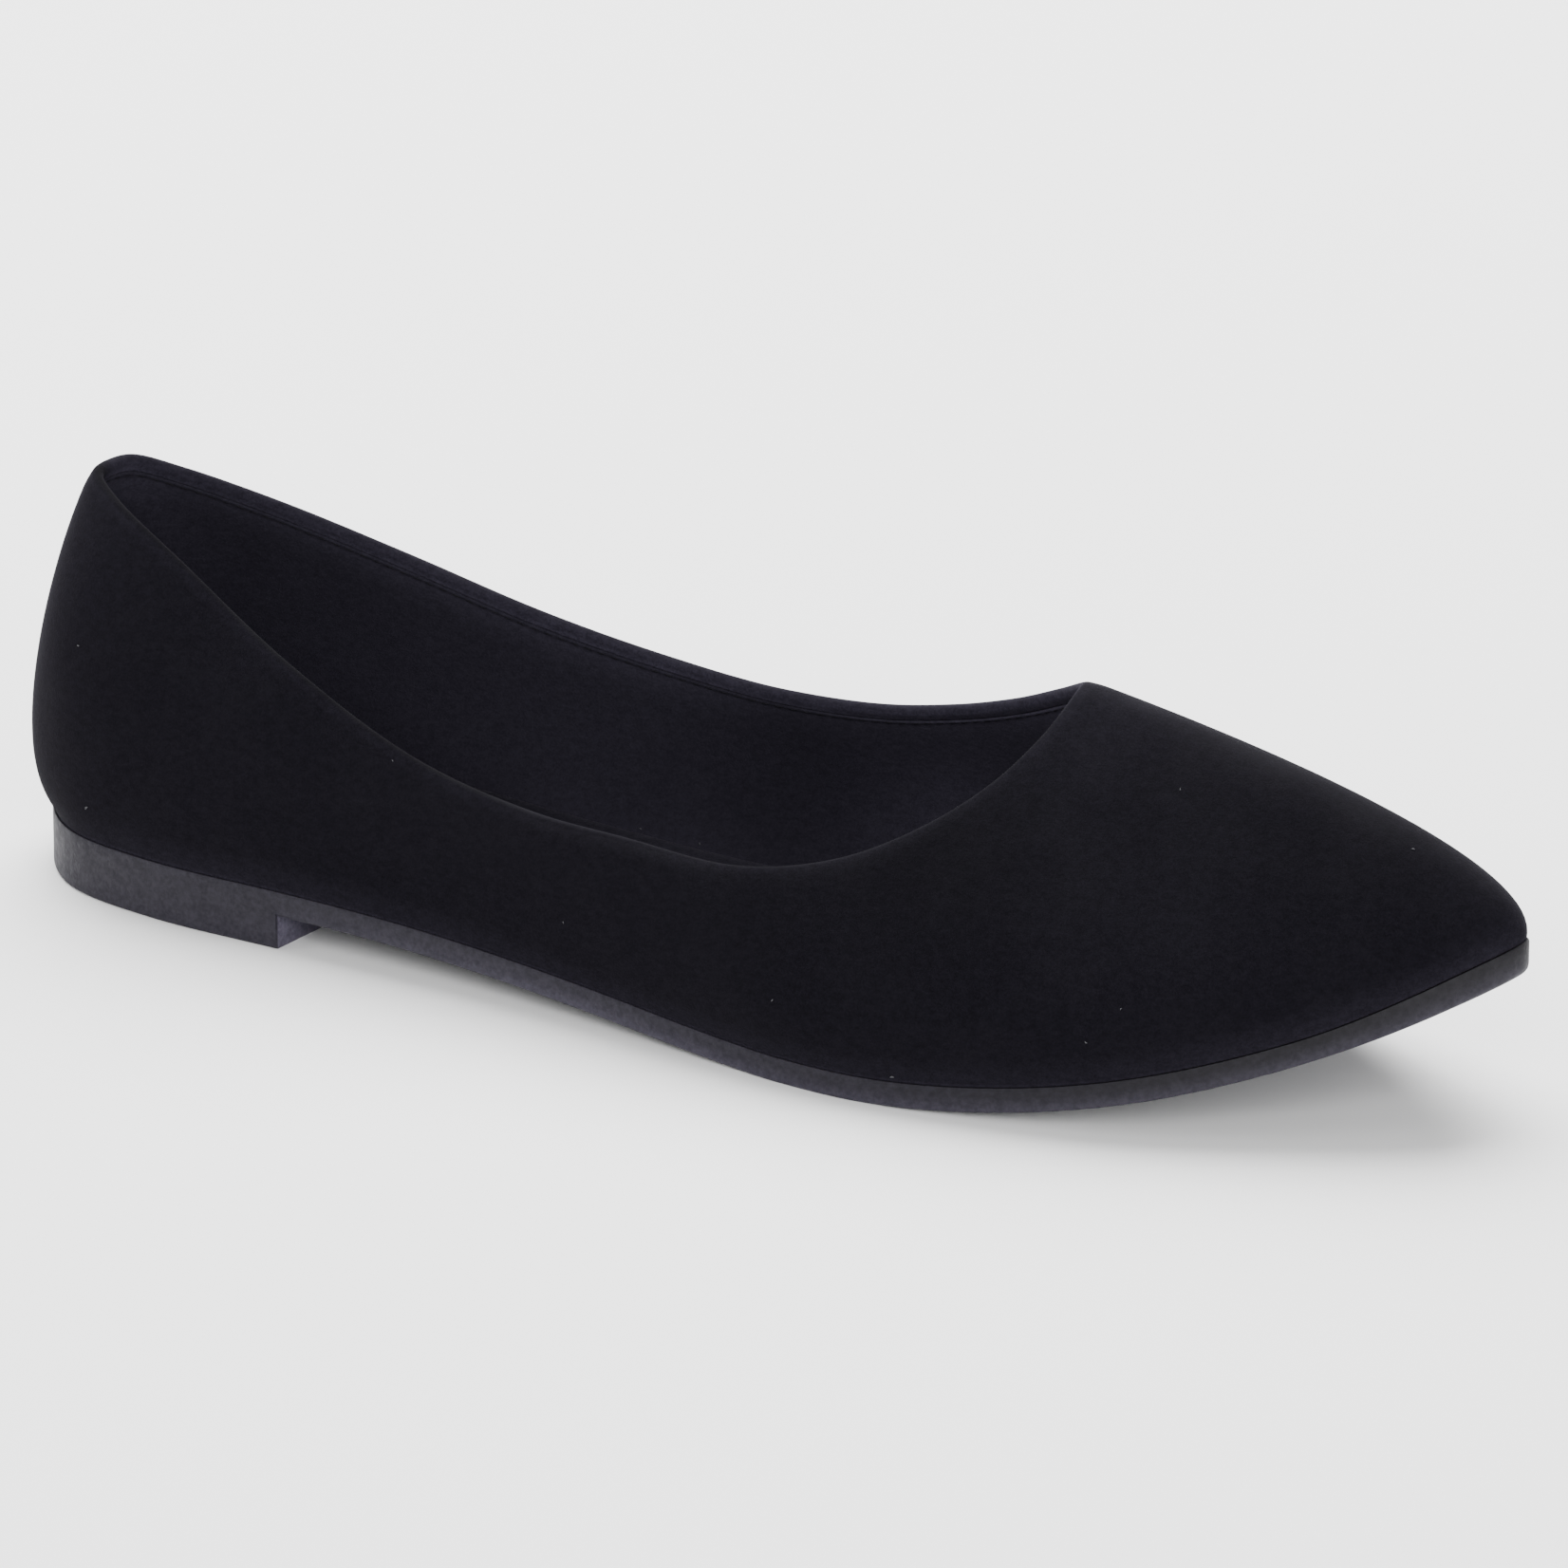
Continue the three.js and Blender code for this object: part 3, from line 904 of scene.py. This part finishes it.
def make_upper():
    cloth = [cloth_section(i) for i in range(ROUND)]
    # The cloth's mark carries painted light and painted shade.
    rim = [mark for i in range(ROUND) for mark in cloth_marks(i)]
    loft("upper_cloth", cloth, True, replaced=["upper"], slot="upper_cloth", material=BLACK_NAP, rim=rim)
    lining = [lining_section(i) for i in range(ROUND)]
    tones = [tone for _, marks in lining for tone in marks]
    loft("upper_lining", [points for points, _ in lining], True,
         slot="lining_cloth", material=LINING_NAP, tone=tones)


# Facing stitches

STITCH_PITCH = 2.4
STITCH_LENGTH = 1.75
THREAD_RADIUS = 0.12
THREAD_SIDES = 6
STITCH_RINGS = 5


class Track:
    """A closed line of points that can be walked by distance."""

    def __init__(self, points, normals):
        self.points, self.normals = points, normals
        self.runs = [0.0]
        for n, p in enumerate(points):
            self.runs.append(self.runs[-1] + (points[(n + 1) % len(points)] - p).length)
        self.size = self.runs[-1]

    def at(self, distance):
        """Point and normal at a distance along the line."""
        distance %= self.size
        low, high = 0, len(self.points)
        while high - low > 1:
            mid = (low + high) // 2
            if self.runs[mid] <= distance:
                low = mid
            else:
                high = mid
        share = (distance - self.runs[low]) / (self.runs[low + 1] - self.runs[low])
        after = (low + 1) % len(self.points)
        point = self.points[low].lerp(self.points[after], share)
        return point, self.normals[low].lerp(self.normals[after], share)


def stitch_points(track, start):
    """One stitch: a short thread that rises from the cloth, runs along it and dives back in."""
    rings = []
    for n in range(STITCH_RINGS):
        share = n / (STITCH_RINGS - 1)
        centre, normal = track.at(start + STITCH_LENGTH * share)
        ahead, _ = track.at(start + STITCH_LENGTH * share + 0.3)
        run = (ahead - centre).normalized()
        over = normal.cross(run)
        hump = math.sin(math.pi * share)
        centre = centre + normal * (THREAD_RADIUS * (hump * 1.1 - 0.75))
        radius = THREAD_RADIUS * (0.45 + 0.55 * hump)
        rings.append([centre + (normal * math.cos(a) + over * math.sin(a)) * radius
                      for a in (math.tau * side / THREAD_SIDES for side in range(THREAD_SIDES))])
    return rings


def tube_faces(base, rings, sides):
    """Faces of a closed tube whose rings' points follow each other from base on."""
    faces = []
    for r in range(rings - 1):
        for k in range(sides):
            m = (k + 1) % sides
            low, high = base + r * sides, base + (r + 1) * sides
            faces.append((low + k, high + k, high + m, low + m))
    faces.append(tuple(base + k for k in range(sides)))
    faces.append(tuple(base + (rings - 1) * sides + k for k in range(sides - 1, -1, -1)))
    return faces


def make_stitches():
    row = wall.row(2.2)
    track = Track([wall.deep(i, row, BEAD_DEPTH) for i in range(ROUND)],
                  [-wall.normals[i][row] for i in range(ROUND)])
    count = round(track.size / STITCH_PITCH)
    points, faces = [], []
    for n in range(count):
        rings = stitch_points(track, track.size * n / count)
        faces += tube_faces(len(points), len(rings), len(rings[0]))
        points += [p for ring in rings for p in ring]
    make_piece("facing_stitches", points, faces, slot="upper_cloth", material=BLACK_THREAD)


# Heel grip

# Its half length in ribs and its lowest row
GRIP_HALF = 29
GRIP_LOWEST = 9

# Its thickness, how deep its rim sinks into the lining, how far its back lies in the wall, and the distance
# under the topline at which its painted light and shade are read
GRIP_THICKNESS = 0.38
GRIP_SINK = 0.04
GRIP_BACK = 0.3
GRIP_BELOW = 9


def make_heel_grip():
    """A soft patch over the lining at the back of the heel, with feathered edges."""
    sections = []
    for i in range(-GRIP_HALF, GRIP_HALF + 1):
        end = 1 - smooth(abs(i) / GRIP_HALF, 0.5, 1)
        rows = range(GRIP_LOWEST, WALL_STEPS, 2)
        front, back = [], []
        for k in rows:
            share = (k - rows.start) / (rows[-1] - rows.start)
            edge = min(1.0, 8 * (1 - share) + 0.15) * min(1.0, 3 * share)
            front.append(wall.deep(i, k, WALL - GRIP_SINK + GRIP_THICKNESS * edge * end))
            back.append(wall.deep(i, k, WALL - GRIP_BACK))
        sections.append(front + back[::-1])
    points = [p for section in sections for p in section]
    size = len(sections[0])
    faces = loft_faces(len(sections), size, False)
    faces.append(tuple(range(size)))
    faces.append(tuple((len(sections) - 1) * size + k for k in range(size - 1, -1, -1)))
    tones = [lining_shading(p, GRIP_BELOW) for p in points]
    make_piece("heel_grip", points, faces, slot="lining_cloth", material=LINING_NAP, tone=tones)


# Insole

SOCK_ROUNDING = 0.35
HIDDEN_STEPS = 6


def across(start, end, dish, steps=ACROSS_STEPS):
    """Points between two edge points, dished in the middle where the shoe is wide."""
    depth = dish * smooth((end - start).length, 0, HEEL_WIDTH)
    points = []
    for k in range(1, steps):
        share = k / steps
        p = start.lerp(end, share)
        p.z -= depth * 4 * share * (1 - share)
        points.append(p)
    return points


def insole_edge(i, low, high):
    """Upright insole edge at one rib, inside the lining over the insole's whole thickness."""
    run = wall.lining_at(i + 1, low) - wall.lining_at(i - 1, low)
    inward = Vector((-run.y, run.x, 0)).normalized()
    foot, head = wall.lining_at(i, low), wall.lining_at(i, high)
    edge = (foot if foot.dot(inward) > head.dot(inward) else head) + inward * SOCK_CLEARANCE
    return [
        Vector((edge.x, edge.y, footing(edge.x) + low)),
        Vector((edge.x, edge.y, footing(edge.x) + high - SOCK_ROUNDING)),
        edge.xy.to_3d() + inward * SOCK_ROUNDING + Vector((0, 0, footing(edge.x) + high)),
    ]


def make_insole():
    low = MARGIN_THICKNESS + GAP
    high = low + INSOLE_THICKNESS
    sections = []
    for i in range(ROUND // 2 + 1):
        outer = insole_edge(i, low, high)
        inner = insole_edge(ROUND - i, low, high)
        upside = across(outer[-1], inner[-1], INSOLE_DISH)
        sections.append(outer + upside + inner[::-1] + across(inner[0], outer[0], 0, HIDDEN_STEPS))
    loft("insole_sock", sections, False, replaced=["insole"], slot="lining_cloth", material=SOCK_NAP)


# Unit sole

# Its edge: how far the lip stands in at the seat and at its own round, where the round ends, steps round the
# chamfer, and points from the seat to the underside
SEAT_INSET = 0.45
LIP_INSET = 0.12
LIP_START = 0.06
LIP_DROP = 0.4
BEVEL_STEPS = 4
SIDE_POINTS = 5 + BEVEL_STEPS + 1

# Where the heel's front parts the sections, as a share of a rib's distance, and the sharpest smooth corner
BREAST_CLEAR = 0.4
SHARP_CORNER = math.radians(50)

# The underside's plain fields: their border and its slope, their depth, and where they lie along the last
FIELD_BORDER = 4.5
FIELD_SLOPE = 2.5
FIELD_DEPTH = 0.7
FIELDS = table("starts full fades ends", [
    (8, 12, HEEL_LENGTH - 10, HEEL_LENGTH - 6),
    (HEEL_LENGTH + 14, HEEL_LENGTH + 18, SOLE_LENGTH - 20, SOLE_LENGTH - 14),
])

# How light the rubber is painted: painted shade darkens its edge towards the toe, and painted light lifts its
# lip on the forepart
TOE_SHADE = 0.24
TOE_SHADE_SPAN = (0.35, 0.95)
LIP_LIGHT = 0.4
LIP_LIGHT_RISE = (0.75, 1.0)
LIP_LIGHT_SPAN = (0.35, 0.6)

# Painted light from the floor pales the foot of the edge, more on the forepart than on the heel, and painted
# light pales the front of the heel
HEEL_FLOOR_LIGHT = 1.5
FOREPART_FLOOR_LIGHT = 3.7
FLOOR_LIGHT_SPAN = (0.2, 0.55)
FLOOR_LIGHT_CURVE = 2.0
FLOOR_LIGHT_TOE_SHADE = 0.7
UNDER_TONE = 1.2
BREAST_LIGHT = 4.5


def sole_side(t, low):
    """Upright section of the sole's edge, from its lip down round the chamfer."""
    p = FOOT_LOOP.at(t)
    run = (FOOT_LOOP.at(t + 0.0005) - FOOT_LOOP.at(t - 0.0005)).normalized()
    outward = Vector((run.y, -run.x, 0))
    top, base, bevel = sole_top(p.x), low(p.x), edge_chamfer(p.x)
    under_lip = top - LIP_DROP
    steps = [(SOLE_LIP - SEAT_INSET, top), (SOLE_LIP - LIP_INSET, top - LIP_START), (SOLE_LIP, under_lip)]
    steps += [(SOLE_LIP, lerp(under_lip, base + bevel, share)) for share in (0.33, 0.66)]
    for n in range(BEVEL_STEPS + 1):
        turn = math.pi / 2 * n / BEVEL_STEPS
        steps.append((SOLE_LIP - bevel * (1 - math.cos(turn)), base + bevel * (1 - math.sin(turn))))
    return [Vector((p.x, p.y, z)) + outward * out for out, z in steps]


def recessed(p, edge):
    """How deep the underside's fields lie at a place that is a distance inside the sole's edge."""
    along = max(smooth(p.x, f.starts, f.full) * (1 - smooth(p.x, f.fades, f.ends)) for f in FIELDS)
    return FIELD_DEPTH * smooth(edge, FIELD_BORDER, FIELD_BORDER + FIELD_SLOPE) * along


def sole_section(outer_t, inner_t, low):
    outer, inner = sole_side(outer_t, low), sole_side(inner_t, low)
    base = across(outer[-1], inner[-1], 0)
    for p in base:
        p.z += recessed(p, min((p - outer[-1]).length, (p - inner[-1]).length))
    return across(inner[0], outer[0], 0, HIDDEN_STEPS) + outer + base + inner[::-1]


def sole_marks(section, low, breast):
    """How light each point of a sole section is painted: painted shade towards the toe, painted light from the
    floor at the foot of the edge, on the lip and on the heel's front.
    """
    tones = []
    for p in section:
        along = p.x / SOLE_LENGTH
        rise = (p.z - low(p.x)) / (sole_top(p.x) - low(p.x))
        painted_gain = lerp(1, TOE_SHADE, smooth(along, *TOE_SHADE_SPAN))
        floor_light = lerp(1, painted_gain, FLOOR_LIGHT_TOE_SHADE) * lerp(HEEL_FLOOR_LIGHT, FOREPART_FLOOR_LIGHT, smooth(along, *FLOOR_LIGHT_SPAN))
        lip = 1 + LIP_LIGHT * smooth(rise, *LIP_LIGHT_RISE) * smooth(along, *LIP_LIGHT_SPAN)
        tones.append(lip * lerp(painted_gain, floor_light, max(0.0, 1 - rise) ** FLOOR_LIGHT_CURVE))
    first = HIDDEN_STEPS - 1 + SIDE_POINTS
    count = ACROSS_STEPS - 1
    tones[first:first + count] = [BREAST_LIGHT if breast else UNDER_TONE] * count
    if breast:
        tones[first - 1] = BREAST_LIGHT
    return tones


def place_at(x, side):
    """Place round the foot line, on one side, where it passes a distance from the heel."""
    low, high = 0.0, 0.5
    for _ in range(40):
        mid = (low + high) / 2
        if FOOT_LOOP.at(mid if side < 0 else 1 - mid).x < x:
            low = mid
        else:
            high = mid
    return low if side < 0 else 1 - low


def ground(x):
    return 0.0


def sole_under(x):
    return underside(x / SOLE_LENGTH)


def make_sole():
    outer_breast = place_at(HEEL_LENGTH, -1)
    inner_breast = place_at(HEEL_LENGTH + BREAST_SLANT, 1)
    clear = BREAST_CLEAR / ROUND
    sections, tones = [], []
    for i in range(ROUND // 2 + 1):
        t = i / ROUND
        behind = t < outer_breast - clear
        ahead = t > 1 - inner_breast + clear and t > outer_breast + clear
        if behind or ahead:
            low = ground if behind else sole_under
            sections.append(sole_section(t, 1 - t, low))
            tones += sole_marks(sections[-1], low, False)
        if behind and (i + 1) / ROUND >= outer_breast - clear:
            for low in (ground, sole_under):
                sections.append(sole_section(outer_breast, inner_breast, low))
                tones += sole_marks(sections[-1], low, True)
    sole = loft("sole_and_heel", sections, False, replaced=["unit_sole"], slot="sole_rubber",
                material=SOLE_RUBBER, tone=tones)
    sole.data.set_sharp_from_angle(angle=SHARP_CORNER)


# Lint

# Specks that cling to the nap: their place on the last, their size, and 1 on the outer face or -1 on the lining
LINT = table("x y z size face", [
    (18.9, -24.9, 16.3, 0.17, 1),
    (14.2, -20.1, 41.8, 0.10, 1),
    (76.7, -25.1, 34.4, 0.08, 1),
    (112.8, -34.2, 17.4, 0.08, 1),
    (153.5, -40.0, 14.7, 0.10, 1),
    (174.0, -38.7, 5.4, 0.15, 1),
    (204.9, -34.4, 15.6, 0.10, 1),
    (205.7, -5.6, 46.8, 0.09, 1),
    (208.6, -31.2, 21.1, 0.08, 1),
    (240.1, 1.6, 42.3, 0.11, 1),
    (93.8, 19.5, 11.6, 0.09, -1),
    (104.7, 20.5, 11.2, 0.10, -1),
])
LINT_RINGS = 6
LINT_SIDES = 6


def fibre(centre, normal, run, radius):
    """Rings of one short bent fibre that lies on the cloth."""
    over = normal.cross(run)
    rings = []
    for n in range(LINT_RINGS):
        share = n / (LINT_RINGS - 1) - 0.5
        thick = radius * (0.25 + 0.75 * math.cos(math.pi * share))
        bend = over * (radius * 3 * share * share)
        spot = centre + run * (share * radius * 5) + bend + normal * (radius * 0.6)
        rings.append([spot + (normal * math.cos(a) + over * math.sin(a)) * thick
                      for a in (math.tau * side / LINT_SIDES for side in range(LINT_SIDES))])
    return rings


def make_lint():
    grid = [(i, k) for i in range(ROUND) for k in range(0, wall.rows, 2)]
    points, faces = [], []
    for n, speck in enumerate(LINT):
        place = Vector((speck.x, speck.y, speck.z))
        i, k = min(grid, key=lambda spot: (wall.points[spot[0]][spot[1]] - place).length_squared)
        normal = wall.normals[i][k] * speck.face
        centre = cloth_face(i, k) if speck.face > 0 else wall.deep(i, k, WALL)
        run = (Matrix.Rotation(2.4 * n, 3, normal) @ normal.orthogonal()).normalized()
        base = len(points)
        points += [p for ring in fibre(centre, normal, run, speck.size) for p in ring]
        faces += tube_faces(base, LINT_RINGS, LINT_SIDES)
    make_piece("lint", points, faces, slot="upper_cloth", material=PALE_FIBRE)


make_upper()
make_stitches()
make_lint()
make_heel_grip()
make_insole()
make_sole()

# Floor, light and camera

# The camera's angle and distance come from the photo's outline; the aim is on the last's own scale.
AZIMUTH = math.radians(30.034)
ELEVATION = math.radians(20.385)
DISTANCE = 1899.0
PIXELS_PER_MM = 6.7302
PHOTO_PIXELS = 1652
AIM = Vector((128.0, 0.0, 25.0))
AIM_PIXEL = (800.9, 871.2)
SENSOR_WIDTH = 36.0


def make_camera():
    flat = math.cos(ELEVATION)
    back = Vector((math.sin(AZIMUTH) * flat, -math.cos(AZIMUTH) * flat, math.sin(ELEVATION)))
    right = Vector((math.cos(AZIMUTH), math.sin(AZIMUTH), 0))
    up = back.cross(right)
    place = (AIM - MIDDLE + back * DISTANCE) * MM
    half = PHOTO_PIXELS / 2
    aside, above = (half - AIM_PIXEL[0]) / PIXELS_PER_MM, (AIM_PIXEL[1] - half) / PIXELS_PER_MM
    centre = AIM - MIDDLE + right * aside + up * above
    data = bpy.data.cameras.new("camera")
    data.sensor_width = SENSOR_WIDTH
    data.lens = SENSOR_WIDTH * PIXELS_PER_MM * DISTANCE / PHOTO_PIXELS
    data.clip_start, data.clip_end = 0.1, 20.0
    camera = bpy.data.objects.new("camera", data)
    bpy.context.collection.objects.link(camera)
    look = (centre * MM - place).normalized()
    side = look.cross(up).normalized()
    head = side.cross(look)
    camera.matrix_world = Matrix.Translation(place) @ Matrix((side, head, -look)).transposed().to_4x4()
    bpy.context.scene.camera = camera


def make_floor():
    size = 6.0
    mesh = bpy.data.meshes.new("floor")
    corners = [(-size, -size, 0), (size, -size, 0), (size, size, 0), (-size, size, 0)]
    mesh.from_pydata(corners, [], [(0, 1, 2, 3)])
    material, shader = new_material("pale_floor")
    s = Sketch(material.node_tree)
    tone = s.noise(s.place(), 3.0, 2.0)
    s.join(s.mix(tone, (0.86, 0.86, 0.865, 1), (0.9, 0.9, 0.9, 1)), shader.inputs["Base Color"])
    shader.inputs["Roughness"].default_value = 0.9
    mesh.materials.append(material)
    floor = bpy.data.objects.new("floor", mesh)
    bpy.context.collection.objects.link(floor)


def soft_light(name, place, size, power):
    data = bpy.data.lights.new(name, "AREA")
    data.shape = "DISK"
    data.size = size
    data.energy = power
    lamp = bpy.data.objects.new(name, data)
    lamp.location = place
    lamp.rotation_mode = "QUATERNION"
    lamp.rotation_quaternion = (-Vector(place)).to_track_quat("-Z", "Y")
    bpy.context.collection.objects.link(lamp)


def make_lights():
    world = bpy.data.worlds.new("studio")
    world.use_nodes = True
    world.node_tree.nodes["Background"].inputs["Color"].default_value = (1.0, 1.0, 1.0, 1)
    world.node_tree.nodes["Background"].inputs["Strength"].default_value = 0.5
    bpy.context.scene.world = world
    soft_light("overhead", (-0.6, 0.85, 1.6), 2.2, 156.0)
    soft_light("fill", (0.75, -1.5, 1.05), 1.0, 26.0)
    soft_light("left", (-1.2, -1.0, 0.9), 1.0, 8.0)
    soft_light("right", (1.5, -0.9, 0.45), 0.8, 17.0)


make_camera()
make_floor()
make_lights()
